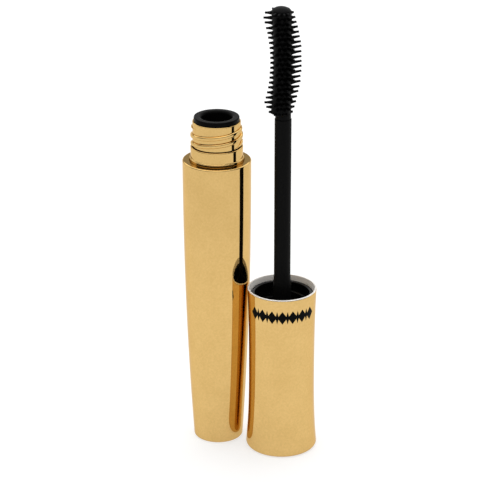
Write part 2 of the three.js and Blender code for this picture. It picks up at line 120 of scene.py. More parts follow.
world = bpy.data.worlds.new("tent")
world.use_nodes = True
world_tree = world.node_tree
toward = node(world_tree, "ShaderNodeSeparateXYZ", {
    0: node(world_tree, "ShaderNodeTexCoord").outputs["Generated"]}).outputs
off_wall = maths(world_tree, "ABSOLUTE", maths(world_tree, "SUBTRACT", toward[2], BACK_WALL_HEIGHT))
in_band = eased(world_tree, off_wall, BACK_WALL_BAND * 0.4, BACK_WALL_BAND * 1.6, 1.0, 0.0)
at_back = eased(world_tree, toward[1], 0.3, 0.8)
wall = maths(world_tree, "MULTIPLY", in_band, at_back)
sides = maths(world_tree, "MULTIPLY", maths(world_tree, "ABSOLUTE", toward[0]), SIDE_DIMMING)
at_front = eased(world_tree, toward[1], 0.3, -0.05, high=DARK_FRONT)
over_low = eased(world_tree, toward[2], DARK_FRONT_LOW - 0.05, DARK_FRONT_LOW)
under_high = eased(world_tree, toward[2], DARK_FRONT_HIGH + 0.05, DARK_FRONT_HIGH)
front = maths(world_tree, "MULTIPLY", maths(world_tree, "MULTIPLY", over_low, under_high), at_front)
dimming = maths(world_tree, "ADD", maths(world_tree, "MULTIPLY", wall, BACK_WALL_DIMMING), sides)
dimming = maths(world_tree, "MAXIMUM", dimming, front)
overhead = eased(world_tree, toward[2], 0.6, 0.9, 1.0, 1.0 + TOP_GLOW)
over_wall = eased(world_tree, toward[2], BACK_WALL_HEIGHT + 0.04, BACK_WALL_HEIGHT + 0.08)
under_roof = eased(world_tree, toward[2], 0.75, 0.5)
back_glow = maths(world_tree, "MULTIPLY", maths(world_tree, "MULTIPLY", over_wall, under_roof),
                  maths(world_tree, "MULTIPLY", at_back, BACK_GLOW))
bright = maths(world_tree, "ADD", overhead, back_glow)
sky = maths(world_tree, "MULTIPLY", maths(world_tree, "SUBTRACT", bright, dimming), SKY_STRENGTH)
world_tree.nodes["Background"].inputs["Color"].default_value = (1, 1, 1, 1)
world_tree.links.new(sky, world_tree.nodes["Background"].inputs["Strength"])
bpy.context.scene.world = world

board, board_shader = new_material("white_board_painted_glow")
board_shader.inputs["Base Color"].default_value = FLOOR_COLOUR
board_shader.inputs["Roughness"].default_value = 0.6
board_shader.inputs["Specular IOR Level"].default_value = 0.08
board_tree = board.node_tree
board_at = node(board_tree, "ShaderNodeSeparateXYZ", {
    0: node(board_tree, "ShaderNodeTexCoord").outputs["Object"]}).outputs
# The glow fades with distance from the bottle, slowest behind it: a painted pool of light that fills the
# contact shadow.
in_front = maths(board_tree, "MINIMUM", board_at[1], 0.0)
behind = maths(board_tree, "MULTIPLY", maths(board_tree, "MAXIMUM", board_at[1], 0.0), 0.3)
across_squared = maths(board_tree, "MULTIPLY", board_at[0], board_at[0])
front_squared = maths(board_tree, "MULTIPLY", in_front, in_front)
reach = maths(board_tree, "SQRT", maths(board_tree, "ADD", across_squared, front_squared))
reach = maths(board_tree, "SUBTRACT", reach, behind)
board_glow = eased(board_tree, reach, FLOOR_GLOW_FADE[0], FLOOR_GLOW_FADE[1], FLOOR_GLOW, FLOOR_GLOW_FAR)
board_shader.inputs["Emission Color"].default_value = (1, 1, 1, 1)
board_tree.links.new(board_glow, board_shader.inputs["Emission Strength"])
floor_corners = [(-FLOOR_HALF, -FLOOR_HALF, 0), (FLOOR_HALF, -FLOOR_HALF, 0)]
floor_corners += [(FLOOR_HALF, FLOOR_HALF, 0), (-FLOOR_HALF, FLOOR_HALF, 0)]
floor_mesh = bpy.data.meshes.new("floor")
floor_mesh.from_pydata(floor_corners, [], [(0, 1, 2, 3)])
floor_mesh.materials.append(board)
floor = bpy.data.objects.new("floor", floor_mesh)
bpy.context.scene.collection.objects.link(floor)

# Bottle shell: the tapered outer case, moulded in plastic and metallised pale gold under a clear
# lacquer. It is one closed cup, and the shoulder ring is pressed into a rebate in its mouth.
MM = 0.001
SEGMENTS = 192
SWEEP_RADIUS = 10.0
CREASE_ANGLE = 32
HOLD = 0.03
FOOT_RADIUS = 6.95
SIDE_POWER = 2.2
FOOT_ROUND = 0.6
SHOULDER_ROUND = 0.35
SHELL_WALL = 0.9
SHELL_FLOOR = 1.2
RING_LIP = 0.35
RING_PLATE = 0.8
SEAT_GAP = 0.05
GOLD_LIGHT = (0.710, 0.474, 0.182, 1)
GOLD_DEEP = (0.636, 0.418, 0.150, 1)
GOLD_EDGE = (0.86, 0.76, 0.62, 1)


def box_mm(node):
    """Lowest and highest corners of a CAD node, in millimetres."""
    low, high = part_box(node)
    return low / MM, high / MM


def new_tree(name, sizes):
    """A Geometry Nodes tree with a geometry input, named inputs for its sizes, and a material."""
    tree = bpy.data.node_groups.new(name, "GeometryNodeTree")
    tree.interface.new_socket("Geometry", in_out="INPUT", socket_type="NodeSocketGeometry")
    kinds = {int: "NodeSocketInt", float: "NodeSocketFloat", tuple: "NodeSocketVector"}
    for size_name, kind in sizes.items():
        tree.interface.new_socket(size_name, in_out="INPUT", socket_type=kinds[kind])
    tree.interface.new_socket("Material", in_out="INPUT", socket_type="NodeSocketMaterial")
    tree.interface.new_socket("Geometry", in_out="OUTPUT", socket_type="NodeSocketGeometry")
    return tree, tree.nodes.new("NodeGroupInput")


def end_tree(tree, group_input, geometry):
    """Ends a tree in real geometry that has its material."""
    real = node(tree, "GeometryNodeRealizeInstances", {0: geometry}).outputs[0]
    painted = node(tree, "GeometryNodeSetMaterial", {0: real, "Material": group_input.outputs["Material"]})
    output = tree.nodes.new("NodeGroupOutput")
    tree.links.new(painted.outputs[0], output.inputs[0])


def built(name, mesh, tree, material, sizes):
    """The object that a tree makes from a mesh with these sizes, as a plain mesh at the origin."""
    piece = bpy.data.objects.new(name, mesh)
    bpy.context.scene.collection.objects.link(piece)
    modifier = piece.modifiers.new("build", "NODES")
    modifier.node_group = tree
    for item in tree.interface.items_tree:
        if item.in_out == "INPUT" and item.name in sizes:
            modifier[item.identifier] = sizes[item.name]
        if item.in_out == "INPUT" and item.name == "Material":
            modifier[item.identifier] = material
    evaluated = piece.evaluated_get(bpy.context.evaluated_depsgraph_get())
    plain = bpy.data.meshes.new_from_object(evaluated)
    piece.modifiers.remove(modifier)
    piece.data = plain
    plain.name = name
    plain.shade_smooth()
    plain.set_sharp_from_angle(angle=math.radians(CREASE_ANGLE))
    return piece


# The tree that every turned piece comes from: its outline is swept round the axis, and the points
# that meet on the axis are merged.
turning, turning_in = new_tree("turned_piece", {"Segments": int, "Sweep radius": float, "Place": tuple})
turning_path = node(turning, "GeometryNodeCurvePrimitiveCircle", {
    "Resolution": turning_in.outputs["Segments"], "Radius": turning_in.outputs["Sweep radius"]})
turning_outline = node(turning, "GeometryNodeMeshToCurve", {0: turning_in.outputs["Geometry"]})
turning_sweep = node(turning, "GeometryNodeCurveToMesh", {
    "Curve": turning_path.outputs[0], "Profile Curve": turning_outline.outputs[0]})
turning_closed = node(turning, "GeometryNodeMergeByDistance", {
    0: turning_sweep.outputs[0], "Distance": 0.002 * MM})
turning_placed = node(turning, "GeometryNodeTransform", {
    0: turning_closed.outputs[0], "Translation": turning_in.outputs["Place"]})
end_tree(turning, turning_in, turning_placed.outputs[0])


def along(radius_at, low, high, count):
    """Points (radius, height) of a side whose radius is a function of its height."""
    heights = [low + (high - low) * i / count for i in range(count + 1)]
    return [(radius_at(z), z) for z in heights]


def arc(radius, height, size, start, end, count=6):
    """Points of a round of that size about (radius, height), between two angles in degrees."""
    angles = [math.radians(start + (end - start) * i / count) for i in range(count + 1)]
    return [(radius + size * math.cos(a), height + size * math.sin(a)) for a in angles]


def held(outline):
    """The outline with a point close to both ends of each long side, so that it is shaded straight."""
    closed = outline[1:] + outline[:1] if outline[0][0] > 0 else outline[1:]
    points = [outline[0]]
    for (r0, z0), (r1, z1) in zip(outline, closed):
        length = math.hypot(r1 - r0, z1 - z0)
        if length > 8 * HOLD:
            points.append((r0 + (r1 - r0) * HOLD / length, z0 + (z1 - z0) * HOLD / length))
            points.append((r1 + (r0 - r1) * HOLD / length, z1 + (z0 - z1) * HOLD / length))
        points.append((r1, z1))
    return points[:-1] if outline[0][0] > 0 else points


def turned(name, outline, material, place=(0, 0), segments=SEGMENTS):
    """A piece turned from an outline in millimetres, with the material on the outline's left."""
    points = [((r - SWEEP_RADIUS) * MM, -z * MM, 0) for r, z in reversed(held(outline))]
    edges = [(i, i + 1) for i in range(len(points) - 1)]
    if outline[0][0] > 0:
        edges.append((len(points) - 1, 0))
    mesh = bpy.data.meshes.new(name)
    mesh.from_pydata(points, edges, [])
    return built(name, mesh, turning, material, {
        "Segments": segments, "Sweep radius": SWEEP_RADIUS * MM, "Place": (place[0] * MM, place[1] * MM, 0)})


def finish_piece(piece, body, slot, *nodes):
    """Says what a piece rides on and hides the CAD nodes it stands for. The slot argument is not used."""
    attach(piece, body)
    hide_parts(*nodes)


def metallised(name, grain=1700.0, ripple=0.09):
    """A polished metallised finish: a fine grain in its colour and gloss, and a faint ripple."""
    material, shader = new_material(name)
    tree = material.node_tree
    place = node(tree, "ShaderNodeTexCoord").outputs["Object"]
    specks = node(tree, "ShaderNodeTexNoise", {
        "Vector": place, "Scale": grain, "Detail": 3.0, "Roughness": 0.6})
    clouds = node(tree, "ShaderNodeTexNoise", {"Vector": place, "Scale": 160.0, "Detail": 3.0})
    both = maths(tree, "ADD", maths(tree, "MULTIPLY", specks.outputs[0], 0.65),
                 maths(tree, "MULTIPLY", clouds.outputs[0], 0.35))
    tone = node(tree, "ShaderNodeMapRange", {"Value": both, "From Min": 0.36, "From Max": 0.64})
    colour = node(tree, "ShaderNodeMix", {0: tone.outputs[0], 6: GOLD_DEEP, 7: GOLD_LIGHT}, data_type="RGBA")
    gloss = node(tree, "ShaderNodeMapRange", {
        "Value": specks.outputs[0], "From Min": 0.3, "From Max": 0.7, "To Min": 0.02, "To Max": 0.06})
    bump = node(tree, "ShaderNodeBump", {"Strength": ripple, "Distance": 0.02 * MM, "Height": both})
    tree.links.new(colour.outputs[2], shader.inputs["Base Color"])
    tree.links.new(gloss.outputs[0], shader.inputs["Roughness"])
    tree.links.new(bump.outputs[0], shader.inputs["Normal"])
    shader.inputs["Metallic"].default_value = 1.0
    shader.inputs["Specular Tint"].default_value = GOLD_EDGE
    return material


shell_low, shell_high = box_mm("bottle_shell")
shoulder_height = shell_high.z
shoulder_radius = (shell_high.x - shell_low.x) / 2


def side_radius(z):
    """Radius of the bottle's side at a height."""
    share = max(0.0, (shoulder_height - z) / shoulder_height)
    return shoulder_radius - (shoulder_radius - FOOT_RADIUS) * share ** SIDE_POWER


gold = metallised("gold_shell")
rebate_radius = shoulder_radius - RING_LIP
rebate_floor = shoulder_height - RING_PLATE - SEAT_GAP
bottle_shell = turned("bottle_case", [
    (0, 0),
    *arc(side_radius(FOOT_ROUND) - FOOT_ROUND, FOOT_ROUND, FOOT_ROUND, -90, 0),
    *along(side_radius, FOOT_ROUND * 2, shoulder_height - SHOULDER_ROUND * 2, 60),
    *arc(shoulder_radius - SHOULDER_ROUND, shoulder_height - SHOULDER_ROUND, SHOULDER_ROUND, 0, 90),
    (rebate_radius, shoulder_height - 0.08),
    (rebate_radius, rebate_floor),
    (side_radius(rebate_floor) - SHELL_WALL, rebate_floor),
    *along(lambda z: side_radius(z) - SHELL_WALL, rebate_floor - 1, SHELL_FLOOR + FOOT_ROUND, 30),
    (side_radius(SHELL_FLOOR) - SHELL_WALL - FOOT_ROUND, SHELL_FLOOR),
    (0, SHELL_FLOOR),
], gold)
finish_piece(bottle_shell, "bottle", "gold_metallised_shell", "bottle_shell")

# Shoulder ring: a flat metallised plate let into the mouth of the case, with a skirt that grips the
# inside of the wall and a hole that the neck's bead stands in.
RING_EDGE = 0.08
RING_SKIRT_WALL = 0.7
NECK_BEAD_RADIUS = 7.5
FIT_GAP = 0.1

ring_low = box_mm("shoulder_ring")[0]
plate_radius = rebate_radius - SEAT_GAP
skirt_radius = side_radius(ring_low.z) - SHELL_WALL - FIT_GAP
plate_foot = shoulder_height - RING_PLATE
hole_radius = NECK_BEAD_RADIUS + FIT_GAP
shoulder_ring = turned("shoulder_plate", [
    (skirt_radius, ring_low.z),
    (skirt_radius, plate_foot),
    (plate_radius, plate_foot),
    *arc(plate_radius - RING_EDGE, shoulder_height - RING_EDGE, RING_EDGE, 0, 90, 4),
    *arc(hole_radius + RING_EDGE, shoulder_height - RING_EDGE, RING_EDGE, 90, 180, 4),
    (hole_radius, plate_foot),
    (skirt_radius - RING_SKIRT_WALL, plate_foot),
    (skirt_radius - RING_SKIRT_WALL, ring_low.z),
], gold)
finish_piece(shoulder_ring, "bottle", "gold_metallised_shell", "shoulder_ring")

# Vial: the moulded inner bottle that holds the mascara. Only its metallised neck shows, with a bead
# at the shoulder, a plain collar and a two-start screw thread for the cap.
VIAL_GAP = 0.25
VIAL_WALL = 0.8
VIAL_FLOOR = 1.0
NECK_RADIUS = 6.65
NECK_BORE_RADIUS = 5.55
BEAD_TOP = 0.95
BEAD_ROUND = 0.3
NECK_LIP_ROUND = 0.2
VIAL_SHOULDER_DROP = 0.9
COLLAR_RADIUS = 7.25
COLLAR_TOP = 4.1
COLLAR_ROUND = 0.3
COLLAR_FOOT_ROUND = 0.12
GROOVE_RADIUS = 6.35
GROOVE_DROP = 0.12
GROOVE_RISE = 0.22
THREAD_LEAD = 4.4
THREAD_TURNS = 1.2
THREAD_HEIGHT = 0.6
THREAD_FOOT = 2.1
THREAD_CREST = 0.7
THREAD_ROUND = 0.42
THREAD_STARTS = 2
THREAD_SUNK = 0.25
THREAD_RUN_OUT = 0.13
THREAD_END_SIZE = 0.12
THREAD_FIRST_RISE = 4.42
THREAD_START_ANGLE = -43

threads, threads_in = new_tree("thread_ridges", {
    "Root radius": float, "Height": float, "Foot width": float, "Crest width": float, "Crest round": float,
    "Lead": float, "Turns": float, "Starts": int, "First height": float, "Start angle": float,
    "Side": float, "Sunk": float, "Place": tuple})
given = threads_in.outputs
line = node(threads, "GeometryNodeCurvePrimitiveLine", {"End": (1, 0, 0)})
steps = maths(threads, "MULTIPLY", given["Turns"], 120.0)
fine_line = node(threads, "GeometryNodeResampleCurve", {"Curve": line.outputs[0], "Count": steps})
starts = node(threads, "GeometryNodeDuplicateElements", {
    0: fine_line.outputs[0], "Amount": given["Starts"]}, domain="SPLINE")
share = node(threads, "GeometryNodeSplineParameter").outputs["Factor"]
full_turn = 2 * math.pi
start_step = maths(threads, "DIVIDE", full_turn, given["Starts"])
turn = maths(threads, "MULTIPLY", maths(threads, "MULTIPLY", share, given["Turns"]), full_turn)
turn = maths(threads, "ADD", turn, maths(threads, "MULTIPLY", starts.outputs["Duplicate Index"], start_step))
turn = maths(threads, "ADD", turn, given["Start angle"])
rise = maths(threads, "MULTIPLY", maths(threads, "MULTIPLY", share, given["Turns"]), given["Lead"])
helix_point = node(threads, "ShaderNodeCombineXYZ", {
    0: maths(threads, "MULTIPLY", maths(threads, "COSINE", turn), given["Root radius"]),
    1: maths(threads, "MULTIPLY", maths(threads, "SINE", turn), given["Root radius"]),
    2: maths(threads, "ADD", rise, given["First height"])})
helix = node(threads, "GeometryNodeSetPosition", {0: starts.outputs[0], "Position": helix_point.outputs[0]})
helix = node(threads, "GeometryNodeSetCurveNormal", {0: helix.outputs[0]}, mode="Z_UP")
section = node(threads, "GeometryNodeCurvePrimitiveQuadrilateral", {
    "Height": maths(threads, "ADD", given["Height"], given["Sunk"]), "Bottom Width": given["Foot width"],
    "Top Width": given["Crest width"], "Offset": 0.0}, mode="TRAPEZOID")
section = node(threads, "GeometryNodeFilletCurve", {0: section.outputs[0], "Count": 4,
                                                    "Radius": given["Crest round"]}, mode="POLY")
quarter = maths(threads, "MULTIPLY", given["Side"], -math.pi / 2)
middle = maths(threads, "MULTIPLY", maths(threads, "SUBTRACT", given["Height"], given["Sunk"]), 0.5)
section = node(threads, "GeometryNodeTransform", {
    0: section.outputs[0],
    "Translation": node(threads, "ShaderNodeCombineXYZ", {
        0: maths(threads, "MULTIPLY", middle, given["Side"])}).outputs[0],
    "Rotation": node(threads, "ShaderNodeCombineXYZ", {2: quarter}).outputs[0]})
to_end = maths(threads, "MINIMUM", share, maths(threads, "SUBTRACT", 1.0, share))
run_out = eased(threads, to_end, 0.0, THREAD_RUN_OUT, THREAD_END_SIZE, 1.0)
ridges = node(threads, "GeometryNodeCurveToMesh", {
    "Curve": helix.outputs[0], "Profile Curve": section.outputs[0], "Scale": run_out,
    "Fill Caps": True})
placed_ridges = node(threads, "GeometryNodeTransform", {0: ridges.outputs[0], "Translation": given["Place"]})
both_parts = node(threads, "GeometryNodeJoinGeometry", {0: placed_ridges.outputs[0]})
threads.links.new(given["Geometry"], both_parts.inputs[0])
end_tree(threads, threads_in, both_parts.outputs[0])


def vial_radius(z):
    """Radius of the outside of the vial's hidden body, a gap inside the case."""
    return side_radius(z) - SHELL_WALL - VIAL_GAP


vial_low, vial_high = box_mm("inner_vial")
neck_top = vial_high.z
vial_shoulder = ring_low.z - FIT_GAP
vial_foot = vial_low.z
vial_floor = vial_foot + VIAL_FLOOR
bead_top = shoulder_height + BEAD_TOP
collar_top = shoulder_height + COLLAR_TOP
neck_gold = metallised("gold_neck", grain=2600.0, ripple=0.03)
vial_body = turned("vial_body", [
    (0, vial_foot),
    (vial_radius(vial_foot) - FOOT_ROUND, vial_foot),
    *along(vial_radius, vial_foot + FOOT_ROUND, vial_shoulder - VIAL_SHOULDER_DROP, 30),
    (NECK_BEAD_RADIUS, vial_shoulder),
    *arc(NECK_BEAD_RADIUS - BEAD_ROUND, bead_top - BEAD_ROUND, BEAD_ROUND, 0, 80),
    *arc(COLLAR_RADIUS + COLLAR_FOOT_ROUND, bead_top + COLLAR_FOOT_ROUND, COLLAR_FOOT_ROUND, 250, 180, 3),
    *arc(COLLAR_RADIUS - COLLAR_ROUND, collar_top - COLLAR_ROUND, COLLAR_ROUND, 0, 90),
    (GROOVE_RADIUS, collar_top - GROOVE_DROP),
    (GROOVE_RADIUS, collar_top + GROOVE_RISE),
    (NECK_RADIUS, collar_top + GROOVE_RISE),
    *arc(NECK_RADIUS - NECK_LIP_ROUND, neck_top - NECK_LIP_ROUND, NECK_LIP_ROUND, 0, 90),
    (NECK_BORE_RADIUS, neck_top),
    (NECK_BORE_RADIUS, vial_shoulder - VIAL_SHOULDER_DROP),
    *along(lambda z: vial_radius(z) - VIAL_WALL, vial_shoulder - 3.3, vial_floor + FOOT_ROUND, 30),
    (vial_radius(vial_foot) - VIAL_WALL - FOOT_ROUND, vial_floor),
    (0, vial_floor),
], neck_gold)
vial = built("vial_with_neck", vial_body.data, threads, neck_gold, {
    "Root radius": NECK_RADIUS * MM, "Height": THREAD_HEIGHT * MM, "Foot width": THREAD_FOOT * MM,
    "Crest width": THREAD_CREST * MM, "Crest round": THREAD_ROUND * MM, "Lead": THREAD_LEAD * MM,
    "Turns": THREAD_TURNS, "Starts": THREAD_STARTS,
    "First height": (shoulder_height + THREAD_FIRST_RISE) * MM,
    "Start angle": math.radians(THREAD_START_ANGLE), "Side": 1.0, "Sunk": THREAD_SUNK * MM})
bpy.data.objects.remove(vial_body)

# The undercut above the collar is painted dark as shade, with a faint mottle, so that it reads as one dark
# line.
groove_painted_shade, groove_shade_shader = new_material("neck_groove_painted_shade")
groove_shade_place = node(groove_painted_shade.node_tree, "ShaderNodeTexCoord").outputs["Object"]
groove_shade_mottle = node(groove_painted_shade.node_tree, "ShaderNodeTexNoise", {"Vector": groove_shade_place, "Scale": 1500.0})
groove_shade_tone = node(groove_painted_shade.node_tree, "ShaderNodeMix", {
    0: groove_shade_mottle.outputs[0], 6: (0.010, 0.006, 0.003, 1), 7: (0.035, 0.022, 0.010, 1)}, data_type="RGBA")
groove_painted_shade.node_tree.links.new(groove_shade_tone.outputs[2], groove_shade_shader.inputs["Base Color"])
groove_shade_shader.inputs["Roughness"].default_value = 0.5
groove_shade_shader.inputs["Specular IOR Level"].default_value = 0.1
groove_shade_slot = len(vial.data.materials)
vial.data.materials.append(groove_painted_shade)
# The faces of the undercut take the painted shade.
for face in vial.data.polygons:
    out = math.hypot(face.center.x, face.center.y) / MM
    rise = face.center.z / MM - collar_top
    if -GROOVE_DROP - 0.05 < rise < GROOVE_RISE + 0.01 and out < COLLAR_RADIUS - COLLAR_ROUND:
        face.material_index = groove_shade_slot
finish_piece(vial, "bottle", "gold_metallised_neck", "inner_vial")

# Wiper: a soft black sleeve with a flange that sits on the neck's lip. Its funnel narrows to the lip
# that strips the brush as it comes out.
FLANGE_RADIUS = 6.275
FLANGE_ROUND = 0.28
FLANGE_FOOT_ROUND = 0.12
FUNNEL_RADIUS = 4.2
FUNNEL_ROUND = 0.8
WIPER_LIP_RADIUS = 2.95
WIPER_LIP_WALL = 0.6
SLEEVE_LENGTH = 6.5


def matt_black(name, base, roughness, specular, grain, depth):
    """Black moulded plastic or rubber with a fine matt skin."""
    material, shader = new_material(name)
    tree = material.node_tree
    place = node(tree, "ShaderNodeTexCoord").outputs["Object"]
    skin = node(tree, "ShaderNodeTexNoise", {
        "Vector": place, "Scale": grain, "Detail": 4.0, "Roughness": 0.65})
    light = tuple(channel * 1.9 for channel in base)
    tone = node(tree, "ShaderNodeMapRange", {"Value": skin.outputs[0], "From Min": 0.35, "From Max": 0.7})
    colour = node(tree, "ShaderNodeMix", {
        0: tone.outputs[0], 6: (*base, 1), 7: (*light, 1)}, data_type="RGBA")
    gloss = node(tree, "ShaderNodeMapRange", {
        "Value": skin.outputs[0], "To Min": roughness - 0.08, "To Max": roughness + 0.08})
    bump = node(tree, "ShaderNodeBump", {
        "Strength": 0.35, "Distance": depth * MM, "Height": skin.outputs[0]})
    tree.links.new(colour.outputs[2], shader.inputs["Base Color"])
    tree.links.new(gloss.outputs[0], shader.inputs["Roughness"])
    tree.links.new(bump.outputs[0], shader.inputs["Normal"])
    shader.inputs["Specular IOR Level"].default_value = specular
    return material


wiper_low, wiper_high = box_mm("wiper")
wiper_top = wiper_high.z
flange_foot = neck_top + SEAT_GAP
sleeve_radius = NECK_BORE_RADIUS - FIT_GAP
sleeve_foot = flange_foot - SLEEVE_LENGTH
wiper_black = matt_black("black_wiper", (0.0024, 0.0023, 0.0022), 0.36, 0.025, 2200.0, 0.03)
wiper = turned("wiper_sleeve", [
    (WIPER_LIP_RADIUS + WIPER_LIP_WALL, wiper_low.z),
    (sleeve_radius, sleeve_foot),
    (sleeve_radius, flange_foot),
    *arc(FLANGE_RADIUS - FLANGE_FOOT_ROUND, flange_foot + FLANGE_FOOT_ROUND, FLANGE_FOOT_ROUND, -90, 0, 3),
    *arc(FLANGE_RADIUS - FLANGE_ROUND, wiper_top - FLANGE_ROUND, FLANGE_ROUND, 0, 90),
    *arc(FUNNEL_RADIUS + FUNNEL_ROUND, wiper_top - FUNNEL_ROUND, FUNNEL_ROUND, 90, 180, 10),
    (FUNNEL_RADIUS - 0.3, sleeve_foot),
    (WIPER_LIP_RADIUS, wiper_low.z + 0.3),
    (WIPER_LIP_RADIUS + 0.1, wiper_low.z),
], wiper_black)
finish_piece(wiper, "bottle", "black_wiper", "wiper")

# Mascara: a thick glossy black paste that lines the vial and stays in it by clinging to the wall. The
# brush leaves a hollow down its middle.
PASTE_WELL = 4.4

fill_low, fill_high = box_mm("mascara_fill")
paste, paste_shader = new_material("mascara_paste")
paste_place = node(paste.node_tree, "ShaderNodeTexCoord").outputs["Object"]
paste_lumps = node(paste.node_tree, "ShaderNodeTexNoise", {
    "Vector": paste_place, "Scale": 700.0, "Detail": 4.0})
paste_bump = node(paste.node_tree, "ShaderNodeBump", {"Strength": 0.6, "Distance": 0.1 * MM,
                                                      "Height": paste_lumps.outputs[0]})
paste_gloss = node(paste.node_tree, "ShaderNodeMapRange", {"Value": paste_lumps.outputs[0], "To Min": 0.12,
                                                          "To Max": 0.35})
paste.node_tree.links.new(paste_bump.outputs[0], paste_shader.inputs["Normal"])
paste.node_tree.links.new(paste_gloss.outputs[0], paste_shader.inputs["Roughness"])
paste_shader.inputs["Base Color"].default_value = (0.004, 0.004, 0.0045, 1)


def against_vial(z):
    """Radius of the paste where it lies against the vial."""
    return vial_radius(z) - VIAL_WALL - FIT_GAP


mascara = turned("mascara_paste", [
    (0, fill_low.z),
    (against_vial(fill_low.z) - FOOT_ROUND, fill_low.z),
    *along(against_vial, fill_low.z + FOOT_ROUND, fill_high.z - 0.8, 30),
    *arc((against_vial(fill_high.z) + PASTE_WELL) / 2, fill_high.z - 0.8, 0.8, 20, 160, 8),
    *along(lambda z: PASTE_WELL + 0.12 * math.sin(z * 1.7), fill_high.z - 1.4, fill_low.z + 1.4, 60),
    (PASTE_WELL - 0.6, fill_low.z + 0.4),
    (0, fill_low.z + 0.4),
], paste, segments=96)
finish_piece(mascara, "bottle", "mascara_paste", "mascara_fill")

# Cap shell: the waisted outer cap, metallised gold outside and left silver inside its chamfered
# mouth. It stands on its closed end. A band of small lozenges is printed in black near the rim.
CAP_WAIST_RADIUS = 9.23
CAP_WAIST_HEIGHT = 26
CAP_RIM_POWER = 2.5
CAP_END_POWER = 3
CAP_END_FLARE = 0.92
CAP_END_ROUND = 1.1
CAP_WALL = 0.9
CAP_FLOOR = 1.2
CAP_LIP = 0.55
CAP_RIM_RADIUS = 9.67
CAP_RIM_ROUND = 0.32
CAP_WORN_RIM_HIGHLIGHT = 0.14
LINER_DEPTH = 1.4
SILVER = (0.84, 0.81, 0.765, 1)
BAND_DROP = 5.3
BAND_HEIGHT = 3.8
BAND_HALF_ANGLE = 53
BAND_COUNT = 13
WIDE_LOZENGE = 0.74
SLIM_LOZENGE = 0.26
INK_THICKNESS = 0.02

cap_low, cap_high = box_mm("cap_shell")
cap_height = cap_high.z
cap_place = ((cap_low.x + cap_high.x) / 2, (cap_low.y + cap_high.y) / 2)


def cap_radius(z):
    """Radius of the cap's side at a height, with its open rim up."""
    if z > CAP_WAIST_HEIGHT:
        rim_share = (z - CAP_WAIST_HEIGHT) / (cap_height - CAP_WAIST_HEIGHT)
        return CAP_WAIST_RADIUS + (CAP_RIM_RADIUS - CAP_WAIST_RADIUS) * rim_share ** CAP_RIM_POWER
    end_share = (CAP_WAIST_HEIGHT - z) / CAP_WAIST_HEIGHT
    return CAP_WAIST_RADIUS + CAP_END_FLARE * end_share ** CAP_END_POWER


liner_top = cap_height - LINER_DEPTH
cap_gold = metallised("gold_cap")
cap_shell = turned("cap_case", [
    (0, 0),
    *arc(cap_radius(CAP_END_ROUND) - CAP_END_ROUND, CAP_END_ROUND, CAP_END_ROUND, -90, 0, 8),
    *along(cap_radius, CAP_END_ROUND * 1.5, cap_height - CAP_RIM_ROUND * 1.5, 60),
    *arc(CAP_RIM_RADIUS - CAP_RIM_ROUND, cap_height - CAP_RIM_ROUND, CAP_RIM_ROUND, 0, 90),
    (CAP_RIM_RADIUS - CAP_LIP + 0.05, cap_height),
    (CAP_RIM_RADIUS - CAP_LIP, cap_height - 0.05),
    *along(lambda z: cap_radius(z) - CAP_WALL, liner_top, CAP_FLOOR + CAP_END_ROUND, 30),
    (cap_radius(CAP_FLOOR) - CAP_WALL - CAP_END_ROUND, CAP_FLOOR),
    (0, CAP_FLOOR),
], cap_gold, place=cap_place)

# The silver inside of the mouth has the fine turned lines of the mould. The rim's top edge is silver too: a
# worn bare edge, and a painted highlight along the rim.
silver, silver_shader = new_material("silver_mouth")
silver_place = node(silver.node_tree, "ShaderNodeTexCoord").outputs["Object"]
silver_lines = node(silver.node_tree, "ShaderNodeMapping", {
    "Vector": silver_place, "Scale": (60, 60, 9000)})
silver_noise = node(silver.node_tree, "ShaderNodeTexNoise", {
    "Vector": silver_lines.outputs[0], "Scale": 1.0, "Detail": 3.0})
silver_bump = node(silver.node_tree, "ShaderNodeBump", {
    "Strength": 0.4, "Distance": 0.02 * MM, "Height": silver_noise.outputs[0]})
silver.node_tree.links.new(silver_bump.outputs[0], silver_shader.inputs["Normal"])
silver_shader.inputs["Base Color"].default_value = SILVER
silver_shader.inputs["Metallic"].default_value = 0.2
silver_shader.inputs["Roughness"].default_value = 0.5
cap_shell.data.materials.append(silver)
for face in cap_shell.data.polygons:
    across = math.hypot(face.center.x / MM - cap_place[0], face.center.y / MM - cap_place[1])
    height = face.center.z / MM
    inside = height > CAP_FLOOR * 1.01 and across < cap_radius(height) - CAP_RIM_ROUND
    # Faces inside the mouth are silver, and so is the rim's top, worn bare and lighter as a painted
    # highlight.
    if inside or height > cap_height - CAP_WORN_RIM_HIGHLIGHT:
        face.material_index = 1
finish_piece(cap_shell, "applicator", "gold_metallised_cap", "cap_shell")

# Printed band: wide and slim lozenges in turn, a thin layer of ink laid on the cap's own curve.
print_tree, print_in = new_tree("printed_band", {
    "Count": int, "Half angle": float, "Height": float, "Ink": float, "Band height": float, "Place": tuple,
    "Waist radius": float, "Rim radius": float, "Waist height": float, "Rim height": float, "Power": float})
given = print_in.outputs
places = node(print_tree, "GeometryNodeMeshLine", {"Count": given["Count"], "Start Location": (0, 0, 0),
                                                   "Offset": (0, 0, 0)})
number = node(print_tree, "GeometryNodeInputIndex").outputs[0]
last = maths(print_tree, "SUBTRACT", given["Count"], 1.0)
row_share = maths(print_tree, "DIVIDE", number, last)
side_share = maths(print_tree, "SUBTRACT", maths(print_tree, "MULTIPLY", row_share, 2.0), 1.0)
band_x = maths(print_tree, "MULTIPLY", maths(print_tree, "MULTIPLY", side_share, given["Half angle"]),
               given["Rim radius"])
row_points = node(print_tree, "GeometryNodeSetPosition", {
    0: places.outputs[0], "Position": node(print_tree, "ShaderNodeCombineXYZ", {0: band_x}).outputs[0]})
